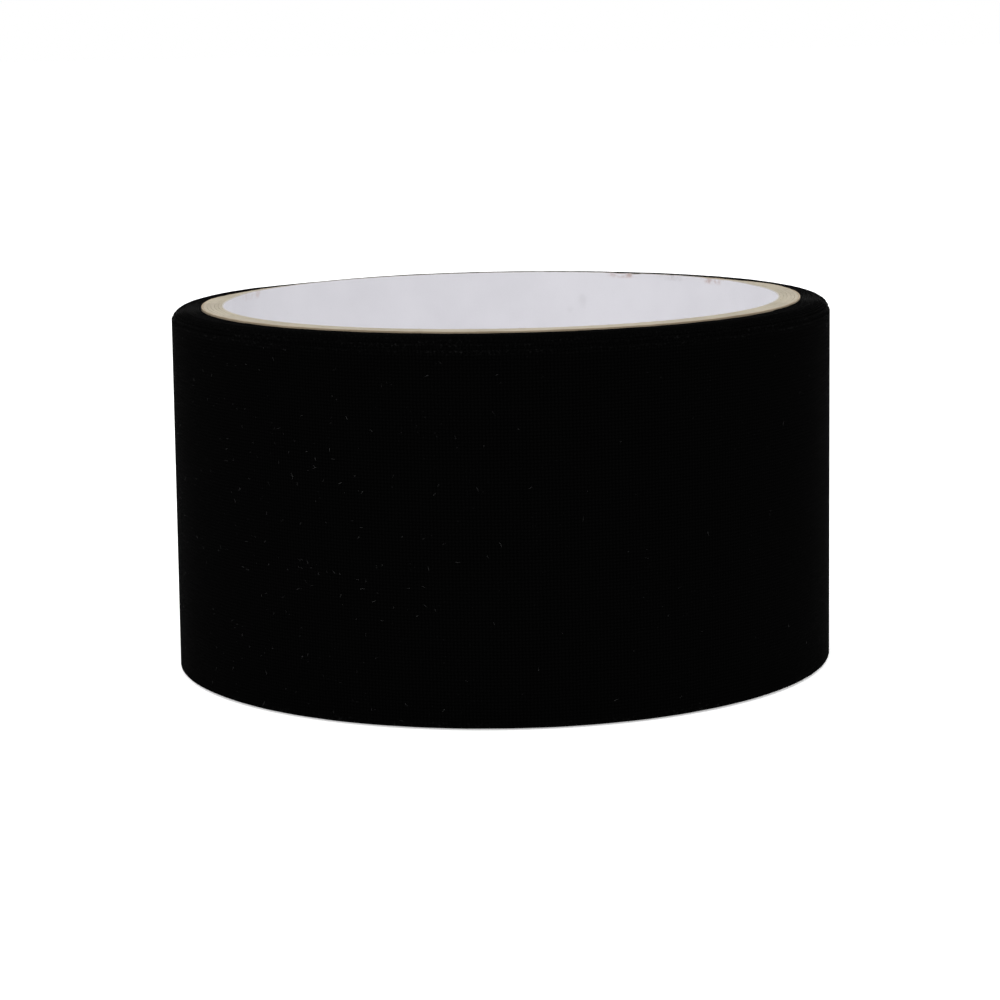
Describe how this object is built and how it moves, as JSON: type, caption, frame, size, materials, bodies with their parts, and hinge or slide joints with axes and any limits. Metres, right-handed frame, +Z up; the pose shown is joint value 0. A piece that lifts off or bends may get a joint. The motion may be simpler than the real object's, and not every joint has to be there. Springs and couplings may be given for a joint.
{
  "type": "grip tape roll",
  "caption": "Roll of black cloth grip tape wound on a paper tube core, with a free end that peels off the roll.",
  "frame": {"origin": "on the roll's axis, level with the lower edge of the core that the roll stands on", "axes": "+Z up along the roll's axis; the free end of the tape lies at 150 degrees from +X towards +Y, and points anticlockwise as seen from above"},
  "size_m": [0.0905, 0.0905, 0.05],
  "materials": {
    "liner_paper": "matte",
    "grey_board": "matte",
    "kraft_wrap": "matte",
    "tape_cloth": "matte",
    "tape_adhesive": "satin"
  },
  "bodies": {
    "roll": {"core_liner": "liner_paper", "core_board_1": "grey_board", "core_board_2": "grey_board", "core_board_3": "grey_board", "core_board_4": "grey_board", "core_board_5": "grey_board", "core_outer_wrap": "kraft_wrap", "tape_adhesive": "tape_adhesive", "tape_cloth": "tape_cloth"},
    "tail_1": {"tail_adhesive_1": "tape_adhesive", "tail_cloth_1": "tape_cloth"},
    "tail_2": {"tail_adhesive_2": "tape_adhesive", "tail_cloth_2": "tape_cloth"},
    "tail_3": {"tail_adhesive_3": "tape_adhesive", "tail_cloth_3": "tape_cloth"},
    "tail_4": {"tail_adhesive_4": "tape_adhesive", "tail_cloth_4": "tape_cloth"}
  },
  "joints": [
    {"name": "tail_peel", "type": "hinge", "parent": "roll", "child": "tail_1", "pos_m": [0.01547, 0.0425, 0.02495], "axis": [0, 0, -1], "range_deg": [0, 40]},
    {"name": "tail_bend_2", "type": "hinge", "parent": "tail_1", "child": "tail_2", "pos_m": [0, 0.04524, 0.02495], "axis": [0, 0, -1], "range_deg": [0, 22]},
    {"name": "tail_bend_3", "type": "hinge", "parent": "tail_2", "child": "tail_3", "pos_m": [-0.01548, 0.04253, 0.02495], "axis": [0, 0, -1], "range_deg": [0, 22]},
    {"name": "tail_bend_4", "type": "hinge", "parent": "tail_3", "child": "tail_4", "pos_m": [-0.0291, 0.03468, 0.02495], "axis": [0, 0, -1], "range_deg": [0, 22]}
  ],
  "couplings": [
    {"joint": "tail_bend_2", "follows": "tail_peel", "ratio": 0.55},
    {"joint": "tail_bend_3", "follows": "tail_peel", "ratio": 0.55},
    {"joint": "tail_bend_4", "follows": "tail_peel", "ratio": 0.55}
  ]
}
